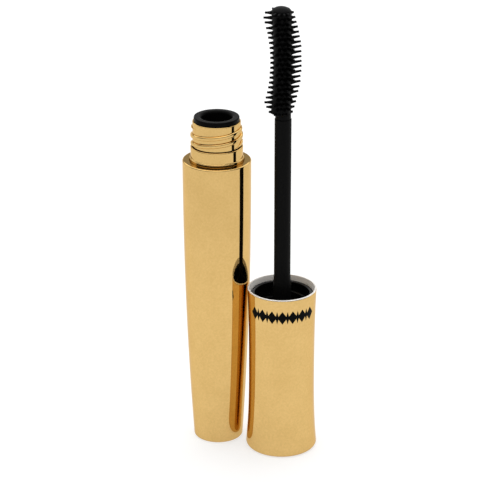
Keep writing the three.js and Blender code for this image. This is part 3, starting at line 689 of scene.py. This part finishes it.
tile = node(print_tree, "GeometryNodeMeshCube", {"Size": (1, 1, 1), "Vertices X": 7, "Vertices Y": 9,
                                                 "Vertices Z": 2})
tile_at = node(print_tree, "ShaderNodeSeparateXYZ", {
    0: node(print_tree, "GeometryNodeInputPosition").outputs[0]}).outputs
off_middle = maths(print_tree, "MULTIPLY", maths(print_tree, "ABSOLUTE", tile_at[1]), 2.0)
tip_share = maths(print_tree, "SUBTRACT", 1.0, off_middle)
tile_width = maths(print_tree, "ADD", tip_share, 0.02)
lozenge = node(print_tree, "GeometryNodeSetPosition", {
    0: tile.outputs[0], "Position": node(print_tree, "ShaderNodeCombineXYZ", {
        0: maths(print_tree, "MULTIPLY", tile_at[0], tile_width),
        1: tile_at[1], 2: tile_at[2]}).outputs[0]})
is_small = maths(print_tree, "MODULO", number, 2.0)
width_now = node(print_tree, "ShaderNodeMapRange", {
    "Value": is_small, "To Min": WIDE_LOZENGE, "To Max": SLIM_LOZENGE})
tile_size = node(print_tree, "ShaderNodeCombineXYZ", {
    0: maths(print_tree, "MULTIPLY", given["Height"], width_now.outputs[0]), 1: given["Height"],
    2: given["Ink"]})
row = node(print_tree, "GeometryNodeInstanceOnPoints", {
    "Points": row_points.outputs[0], "Instance": lozenge.outputs[0], "Scale": tile_size.outputs[0]})
row = node(print_tree, "GeometryNodeRealizeInstances", {0: row.outputs[0]})
flat_at = node(print_tree, "ShaderNodeSeparateXYZ", {
    0: node(print_tree, "GeometryNodeInputPosition").outputs[0]}).outputs
print_z = maths(print_tree, "ADD", flat_at[1], given["Band height"])
flare = maths(print_tree, "DIVIDE", maths(print_tree, "SUBTRACT", print_z, given["Waist height"]),
              maths(print_tree, "SUBTRACT", given["Rim height"], given["Waist height"]))
print_radius = maths(print_tree, "ADD", maths(print_tree, "MULTIPLY", maths(
    print_tree, "SUBTRACT", given["Rim radius"], given["Waist radius"]), maths(
        print_tree, "POWER", flare, given["Power"])), given["Waist radius"])
print_radius = maths(print_tree, "ADD", print_radius, flat_at[2])
bearing = maths(print_tree, "DIVIDE", flat_at[0], given["Rim radius"])
bearing = maths(print_tree, "SUBTRACT", bearing, math.pi / 2)
wrapped = node(print_tree, "GeometryNodeSetPosition", {
    0: row.outputs[0], "Position": node(print_tree, "ShaderNodeCombineXYZ", {
        0: maths(print_tree, "MULTIPLY", maths(print_tree, "COSINE", bearing), print_radius),
        1: maths(print_tree, "MULTIPLY", maths(print_tree, "SINE", bearing), print_radius),
        2: print_z}).outputs[0]})
wrapped = node(print_tree, "GeometryNodeTransform", {0: wrapped.outputs[0], "Translation": given["Place"]})
end_tree(print_tree, print_in, wrapped.outputs[0])

ink = matt_black("black_ink", (0.002, 0.002, 0.002), 0.45, 0.03, 3000.0, 0.005)
printed_band = built("printed_band", bpy.data.meshes.new("printed_band"), print_tree, ink, {
    "Count": BAND_COUNT, "Half angle": math.radians(BAND_HALF_ANGLE), "Height": BAND_HEIGHT * MM,
    "Ink": INK_THICKNESS * MM, "Band height": (cap_height - BAND_DROP) * MM,
    "Place": (cap_place[0] * MM, cap_place[1] * MM, 0), "Waist radius": CAP_WAIST_RADIUS * MM,
    "Rim radius": CAP_RIM_RADIUS * MM, "Waist height": CAP_WAIST_HEIGHT * MM, "Rim height": cap_height * MM,
    "Power": CAP_RIM_POWER})
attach(printed_band, "applicator")

# Inner cap: the black liner pressed into the cap. Its bore is threaded to run on the neck, ribs grip
# the cap's wall, and a boss below holds the wand.
INNER_FLANGE = 1.5
INNER_WALL = 0.33
BORE_RADIUS = 7.6
BORE_ROUND = 0.3
BOSS_WALL = 1.4
ROD_ROOT_RADIUS = 2.5
RIB_COUNT = 8
RIB_WIDTH = 0.9
CAP_THREAD_DEPTH = 0.6
CAP_THREAD_FOOT = 0.9
CAP_THREAD_CREST = 0.3
CAP_THREAD_ROUND = 0.12
CAP_THREAD_SUNK = 0.2
CAP_THREAD_TURNS = 0.8
CAP_THREAD_DROP = 2.4

inner_low, inner_high = box_mm("inner_cap")
gasket_low, gasket_high = box_mm("cap_gasket")
bore_floor = gasket_low.z - SEAT_GAP
boss_top = bore_floor - 1.4
flange_foot_z = inner_high.z - INNER_FLANGE
flange_radius = min(cap_radius(inner_high.z), cap_radius(flange_foot_z)) - CAP_WALL - FIT_GAP
inner_body_radius = BORE_RADIUS + INNER_WALL
rod_hole = ROD_ROOT_RADIUS + FIT_GAP
liner_black = matt_black("black_liner", (0.0012, 0.0012, 0.0012), 0.25, 0.13, 2600.0, 0.012)
inner_body = turned("liner_body", [
    (rod_hole, inner_low.z),
    (rod_hole + BOSS_WALL, inner_low.z),
    (rod_hole + BOSS_WALL, boss_top),
    (inner_body_radius, boss_top),
    (inner_body_radius, flange_foot_z - 0.5),
    (flange_radius, flange_foot_z),
    *arc(flange_radius - 0.2, inner_high.z - 0.2, 0.2, 0, 90, 4),
    *arc(BORE_RADIUS + BORE_ROUND, inner_high.z - BORE_ROUND, BORE_ROUND, 90, 180),
    (BORE_RADIUS, bore_floor),
    (rod_hole, bore_floor),
], liner_black, place=cap_place)

ribs, ribs_in = new_tree("grip_ribs", {
    "Count": int, "Circle": float, "Depth": float, "Width": float, "Height": float, "Foot": float,
    "Place": tuple})
given = ribs_in.outputs
rib_ring = node(ribs, "GeometryNodeMeshCircle", {"Vertices": given["Count"], "Radius": given["Circle"]})
rib_block = node(ribs, "GeometryNodeMeshCube", {
    "Size": node(ribs, "ShaderNodeCombineXYZ", {0: given["Depth"], 1: given["Width"],
                                               2: given["Height"]}).outputs[0]})
rib_number = node(ribs, "GeometryNodeInputIndex").outputs[0]
rib_angle = maths(ribs, "MULTIPLY", rib_number, maths(ribs, "DIVIDE", full_turn, given["Count"]))
rib_copies = node(ribs, "GeometryNodeInstanceOnPoints", {
    "Points": rib_ring.outputs[0], "Instance": rib_block.outputs[0],
    "Rotation": node(ribs, "ShaderNodeCombineXYZ", {2: rib_angle}).outputs[0]})
rib_height = maths(ribs, "ADD", maths(ribs, "MULTIPLY", given["Height"], 0.5), given["Foot"])
rib_shift = node(ribs, "ShaderNodeVectorMath", {
    0: node(ribs, "ShaderNodeCombineXYZ", {2: rib_height}).outputs[0], 1: given["Place"]}, operation="ADD")
rib_placed = node(ribs, "GeometryNodeTransform", {
    0: rib_copies.outputs[0], "Translation": rib_shift.outputs[0]})
rib_join = node(ribs, "GeometryNodeJoinGeometry", {0: rib_placed.outputs[0]})
ribs.links.new(given["Geometry"], rib_join.inputs[0])
end_tree(ribs, ribs_in, rib_join.outputs[0])

cap_place_m = (cap_place[0] * MM, cap_place[1] * MM, 0)
rib_reach = CAP_WAIST_RADIUS - CAP_WALL - FIT_GAP
rib_depth = rib_reach - inner_body_radius + 0.25
ribbed = built("liner_ribbed", inner_body.data, ribs, liner_black, {
    "Count": RIB_COUNT, "Circle": (rib_reach - rib_depth / 2) * MM, "Depth": rib_depth * MM,
    "Width": RIB_WIDTH * MM, "Height": (flange_foot_z - boss_top - 1) * MM, "Foot": boss_top * MM,
    "Place": cap_place_m})
inner_cap = built("threaded_liner", ribbed.data, threads, liner_black, {
    "Root radius": BORE_RADIUS * MM, "Height": CAP_THREAD_DEPTH * MM, "Foot width": CAP_THREAD_FOOT * MM,
    "Crest width": CAP_THREAD_CREST * MM, "Crest round": CAP_THREAD_ROUND * MM, "Lead": THREAD_LEAD * MM,
    "Turns": CAP_THREAD_TURNS, "Starts": THREAD_STARTS,
    "First height": (inner_high.z - CAP_THREAD_DROP - CAP_THREAD_TURNS * THREAD_LEAD) * MM,
    "Start angle": 0.0, "Side": -1.0, "Sunk": CAP_THREAD_SUNK * MM, "Place": cap_place_m})
bpy.data.objects.remove(inner_body)
bpy.data.objects.remove(ribbed)
finish_piece(inner_cap, "applicator", "black_inner_cap", "inner_cap")

# Gasket: a washer punched from white closed-cell foam, loose on the floor of the liner, that the
# neck closes on.
GASKET_EDGE = 0.12

foam, foam_shader = new_material("white_foam")
foam_place = node(foam.node_tree, "ShaderNodeTexCoord").outputs["Object"]
foam_cells = node(foam.node_tree, "ShaderNodeTexVoronoi", {"Vector": foam_place, "Scale": 3500.0})
foam_tone = node(foam.node_tree, "ShaderNodeMix", {
    0: foam_cells.outputs["Distance"], 6: (0.70, 0.69, 0.66, 1), 7: (0.82, 0.81, 0.78, 1)}, data_type="RGBA")
foam_bump = node(foam.node_tree, "ShaderNodeBump", {
    "Strength": 0.5, "Distance": 0.06 * MM, "Height": foam_cells.outputs["Distance"]})
foam.node_tree.links.new(foam_tone.outputs[2], foam_shader.inputs["Base Color"])
foam.node_tree.links.new(foam_bump.outputs[0], foam_shader.inputs["Normal"])
foam_shader.inputs["Roughness"].default_value = 0.85
gasket_outer = (gasket_high.x - gasket_low.x) / 2
gasket_hole = ROD_ROOT_RADIUS + 0.3
gasket = turned("foam_gasket", [
    (gasket_hole, gasket_low.z),
    *arc(gasket_outer - GASKET_EDGE, gasket_low.z + GASKET_EDGE, GASKET_EDGE, -90, 0, 3),
    *arc(gasket_outer - GASKET_EDGE, gasket_high.z - GASKET_EDGE, GASKET_EDGE, 0, 90, 3),
    *arc(gasket_hole + GASKET_EDGE, gasket_high.z - GASKET_EDGE, GASKET_EDGE, 90, 180, 3),
], foam, place=cap_place, segments=96)
finish_piece(gasket, "cap_gasket", "white_foam", "cap_gasket")

# Wand: the black moulded stem. Barbs on its thicker root hold it in the liner's boss, and the stub of
# the brush is pressed into the socket in its top.
ROD_RADIUS = 2.3
ROOT_TAPER_MIDDLE = 2.6
SOCKET_RADIUS = 1.4
SOCKET_DEPTH = 7
ROD_END_ROUND = 0.15
BARB_COUNT = 3
BARB_PITCH = 3
BARB_DEPTH = 0.3

rod_low, rod_high = box_mm("wand_rod")
rod_black = matt_black("black_stem", (0.0028, 0.0028, 0.0027), 0.5, 0.045, 1800.0, 0.02)
barb_heights = [rod_low.z + i * BARB_PITCH for i in range(BARB_COUNT)]
barb_points = [p for z in barb_heights for p in
               ((ROD_ROOT_RADIUS - BARB_DEPTH, z), (ROD_ROOT_RADIUS, z + 0.9 * BARB_PITCH))]
taper_middle = cap_height + ROOT_TAPER_MIDDLE


def stem_radius(z):
    """Radius of the stem, which eases from its thick root into its straight part."""
    taper = min(1.0, max(0.0, (z - taper_middle + 2) / 4))
    return ROD_ROOT_RADIUS - (ROD_ROOT_RADIUS - ROD_RADIUS) * taper * taper * (3 - 2 * taper)


rod = turned("wand_stem", [
    (0, rod_low.z),
    *barb_points,
    *along(stem_radius, taper_middle - 2.2, taper_middle + 2.2, 12),
    *arc(ROD_RADIUS - ROD_END_ROUND, rod_high.z - ROD_END_ROUND, ROD_END_ROUND, 0, 90, 4),
    (SOCKET_RADIUS, rod_high.z),
    (SOCKET_RADIUS, rod_high.z - SOCKET_DEPTH),
    (0, rod_high.z - SOCKET_DEPTH),
], rod_black, place=cap_place, segments=96)
finish_piece(rod, "applicator", "black_stem", "wand_rod")

# Brush: moulded in one piece in soft black plastic, a core with rings of tapered bristles. The tips
# follow a bow, long on one side at the middle and on the other side at the ends.
BRUSH_COLLAR_RADIUS = 2.15
BRUSH_COLLAR_HEIGHT = 1.5
CORE_RADIUS = 2.42
CORE_END_SWELL = 0.3
CORE_OFFSET = 0.28
CORE_SWAY = 0.3
DOME_HEIGHT = 1.5
RING_COUNT = 21
RING_PITCH = 1.385
BRISTLES_PER_RING = 10
TIP_RADIUS = 4.25
TIP_LEAN = 0.685
TIP_BOW = 2.27
BRISTLE_FOOT = 0.72
BRISTLE_TIP = 0.3
BRISTLE_TILT = 5
BRISTLE_GAP = 1.02
BRISTLE_FOOT_LIMITS = (1.1, 4.1)
BRISTLE_TOP_LIMITS = (4.6, 2.2)
BRISTLE_SEED = 4

brush_tip = box_mm("brush")[1].z
brush_foot = rod_high.z + SEAT_GAP
last_ring = brush_tip - DOME_HEIGHT - 0.2
first_ring = last_ring - (RING_COUNT - 1) * RING_PITCH
ring_middle = (first_ring + last_ring) / 2
ring_half = (last_ring - first_ring) / 2
brush_black = matt_black("black_brush", (0.0012, 0.0012, 0.0013), 0.42, 0.06, 2400.0, 0.03)


def brush_share(z):
    """Place along the brush, -1 at its first ring and 1 at its last."""
    return min(1.12, max(-1.12, (z - ring_middle) / ring_half))


def core_radius(z):
    """Radius of the core, a little larger towards its ends."""
    return CORE_RADIUS + CORE_END_SWELL * brush_share(z) ** 2


dome_foot = brush_tip - DOME_HEIGHT
core = turned("brush_core", [
    (0, brush_foot - SOCKET_DEPTH + 0.3),
    (SOCKET_RADIUS - FIT_GAP, brush_foot - SOCKET_DEPTH + 0.3),
    (SOCKET_RADIUS - FIT_GAP, brush_foot),
    *arc(BRUSH_COLLAR_RADIUS - 0.1, brush_foot + 0.1, 0.1, -90, 0, 3),
    (BRUSH_COLLAR_RADIUS, brush_foot + BRUSH_COLLAR_HEIGHT),
    *along(core_radius, first_ring - 0.15, dome_foot - 0.2, 60),
    *[(core_radius(dome_foot) * math.cos(math.radians(a)) ** 1.1,
       dome_foot + DOME_HEIGHT * math.sin(math.radians(a))) for a in range(0, 90, 6)],
    (0, brush_tip),
], brush_black, place=cap_place, segments=64)
for vertex in core.data.vertices:
    height = vertex.co.z / MM
    if height > brush_foot + BRUSH_COLLAR_HEIGHT:
        vertex.co.x -= (CORE_OFFSET + CORE_SWAY * brush_share(height) ** 2) * MM

bristles, bristles_in = new_tree("bristle_rings", {
    "Rings": int, "Per ring": int, "First height": float, "Pitch": float, "Core radius": float,
    "Core swell": float, "Core offset": float, "Core sway": float, "Tip radius": float, "Tip lean": float,
    "Tip bow": float, "Foot radius": float, "Tip size": float, "Tilt": float, "Seed": int, "Place": tuple})
given = bristles_in.outputs
count = maths(bristles, "MULTIPLY", given["Rings"], given["Per ring"])
dots = node(bristles, "GeometryNodeMeshLine", {"Count": count})
number = node(bristles, "GeometryNodeInputIndex").outputs[0]
ring_number = maths(bristles, "FLOOR", maths(bristles, "DIVIDE", maths(bristles, "ADD", number, 0.5),
                                             given["Per ring"]))
in_ring = maths(bristles, "SUBTRACT", number, maths(bristles, "MULTIPLY", ring_number, given["Per ring"]))
half_count = maths(bristles, "MULTIPLY", given["Per ring"], 0.5)
in_half = maths(bristles, "MODULO", in_ring, half_count)
half_number = maths(bristles, "FLOOR", maths(bristles, "DIVIDE", in_ring, half_count))
half_turn = maths(bristles, "MULTIPLY", half_number, math.pi)
beside = maths(bristles, "MINIMUM", in_half, 1.0)
spread = maths(bristles, "DIVIDE", math.pi - 2 * BRISTLE_GAP, maths(bristles, "SUBTRACT", half_count, 2.0))
odd_ring = maths(bristles, "MODULO", ring_number, 2.0)
stagger = maths(bristles, "MULTIPLY", maths(bristles, "MULTIPLY", spread, 0.45), odd_ring)
fan = maths(bristles, "ADD", maths(bristles, "MULTIPLY", maths(bristles, "SUBTRACT", in_half, 1.0), spread),
            BRISTLE_GAP)
fan = maths(bristles, "MULTIPLY", maths(bristles, "ADD", fan, stagger), beside)
jitter = node(bristles, "FunctionNodeRandomValue", {2: -1.0, 3: 1.0, "ID": number, "Seed": given["Seed"]})
round_angle = maths(bristles, "ADD", fan, half_turn)
round_angle = maths(bristles, "ADD", round_angle, maths(bristles, "MULTIPLY", jitter.outputs[1], 0.03))
last_number = maths(bristles, "SUBTRACT", given["Rings"], 1.0)
place_share = maths(bristles, "SUBTRACT", maths(bristles, "MULTIPLY", maths(
    bristles, "DIVIDE", ring_number, last_number), 2.0), 1.0)
squared = maths(bristles, "MULTIPLY", place_share, place_share)
cosine = maths(bristles, "COSINE", round_angle)
sine = maths(bristles, "SINE", round_angle)
bowed = maths(bristles, "MULTIPLY", given["Tip bow"], squared)
lean = maths(bristles, "SUBTRACT", given["Tip lean"], bowed)
reach = maths(bristles, "ADD", given["Tip radius"], maths(bristles, "MULTIPLY", lean, cosine))
swollen = maths(bristles, "MULTIPLY", given["Core swell"], squared)
core_now = maths(bristles, "ADD", given["Core radius"], swollen)
core_x = maths(bristles, "MULTIPLY", maths(bristles, "ADD", given["Core offset"], maths(
    bristles, "MULTIPLY", given["Core sway"], squared)), -1.0)
root_radius = maths(bristles, "MULTIPLY", core_now, 0.82)
core_edge = maths(bristles, "ADD", root_radius, maths(bristles, "MULTIPLY", core_x, cosine))
length = maths(bristles, "SUBTRACT", reach, core_edge)
foot_limit = node(bristles, "ShaderNodeMapRange", {
    "Value": place_share, "From Min": -1.0, "From Max": -0.6,
    "To Min": BRISTLE_FOOT_LIMITS[0] * MM, "To Max": BRISTLE_FOOT_LIMITS[1] * MM})
top_limit = node(bristles, "ShaderNodeMapRange", {
    "Value": place_share, "From Min": 0.7, "From Max": 1.0,
    "To Min": BRISTLE_TOP_LIMITS[0] * MM, "To Max": BRISTLE_TOP_LIMITS[1] * MM})
length = maths(bristles, "MINIMUM", maths(bristles, "MINIMUM", length, foot_limit.outputs[0]),
               top_limit.outputs[0])
uneven = node(bristles, "FunctionNodeRandomValue", {2: 0.97, 3: 1.03, "ID": number,
                                                    "Seed": maths(bristles, "ADD", given["Seed"], 1.0)})
length = maths(bristles, "MULTIPLY", length, uneven.outputs[1])
ring_height = maths(bristles, "ADD", given["First height"], maths(bristles, "MULTIPLY", ring_number,
                                                                  given["Pitch"]))
foot_point = node(bristles, "ShaderNodeCombineXYZ", {
    0: maths(bristles, "ADD", maths(bristles, "MULTIPLY", root_radius, cosine), core_x),
    1: maths(bristles, "MULTIPLY", root_radius, sine), 2: ring_height})
feet = node(bristles, "GeometryNodeSetPosition", {0: dots.outputs[0], "Position": foot_point.outputs[0]})
spine = node(bristles, "GeometryNodeCurvePrimitiveLine", {"End": (1, 0, 0)})
spine = node(bristles, "GeometryNodeResampleCurve", {"Curve": spine.outputs[0], "Count": 6})
spine_share = node(bristles, "GeometryNodeSplineParameter").outputs["Factor"]
thinning = maths(bristles, "POWER", maths(bristles, "SUBTRACT", 1.0, spine_share), 1.9)
thickness = maths(bristles, "ADD", maths(bristles, "MULTIPLY", thinning, maths(
    bristles, "SUBTRACT", given["Foot radius"], given["Tip size"])), given["Tip size"])
ring_of_sides = node(bristles, "GeometryNodeCurvePrimitiveCircle", {"Resolution": 6, "Radius": 1.0})
spike = node(bristles, "GeometryNodeCurveToMesh", {
    "Curve": spine.outputs[0], "Profile Curve": ring_of_sides.outputs[0], "Scale": thickness,
    "Fill Caps": True})
tilt_now = maths(bristles, "MULTIPLY", maths(bristles, "MULTIPLY", given["Tilt"], maths(
    bristles, "ADD", cosine, 1.0)), -1.0)
tilt_now = maths(bristles, "ADD", tilt_now, maths(bristles, "MULTIPLY", jitter.outputs[1], 0.04))
grown = node(bristles, "GeometryNodeInstanceOnPoints", {
    "Points": feet.outputs[0], "Instance": spike.outputs[0],
    "Rotation": node(bristles, "ShaderNodeCombineXYZ", {1: tilt_now, 2: round_angle}).outputs[0],
    "Scale": node(bristles, "ShaderNodeCombineXYZ", {0: length, 1: 1.0, 2: 1.0}).outputs[0]})
grown = node(bristles, "GeometryNodeTransform", {0: grown.outputs[0], "Translation": given["Place"]})
brush_join = node(bristles, "GeometryNodeJoinGeometry", {0: grown.outputs[0]})
bristles.links.new(given["Geometry"], brush_join.inputs[0])
end_tree(bristles, bristles_in, brush_join.outputs[0])

brush = built("bristle_brush", core.data, bristles, brush_black, {
    "Rings": RING_COUNT, "Per ring": BRISTLES_PER_RING, "First height": first_ring * MM,
    "Pitch": RING_PITCH * MM, "Core radius": CORE_RADIUS * MM, "Core swell": CORE_END_SWELL * MM,
    "Core offset": CORE_OFFSET * MM, "Core sway": CORE_SWAY * MM, "Tip radius": TIP_RADIUS * MM,
    "Tip lean": TIP_LEAN * MM, "Tip bow": TIP_BOW * MM, "Foot radius": BRISTLE_FOOT * MM,
    "Tip size": BRISTLE_TIP * MM, "Tilt": math.radians(BRISTLE_TILT), "Seed": BRISTLE_SEED,
    "Place": cap_place_m})
bpy.data.objects.remove(core)
finish_piece(brush, "applicator", "black_brush", "brush")
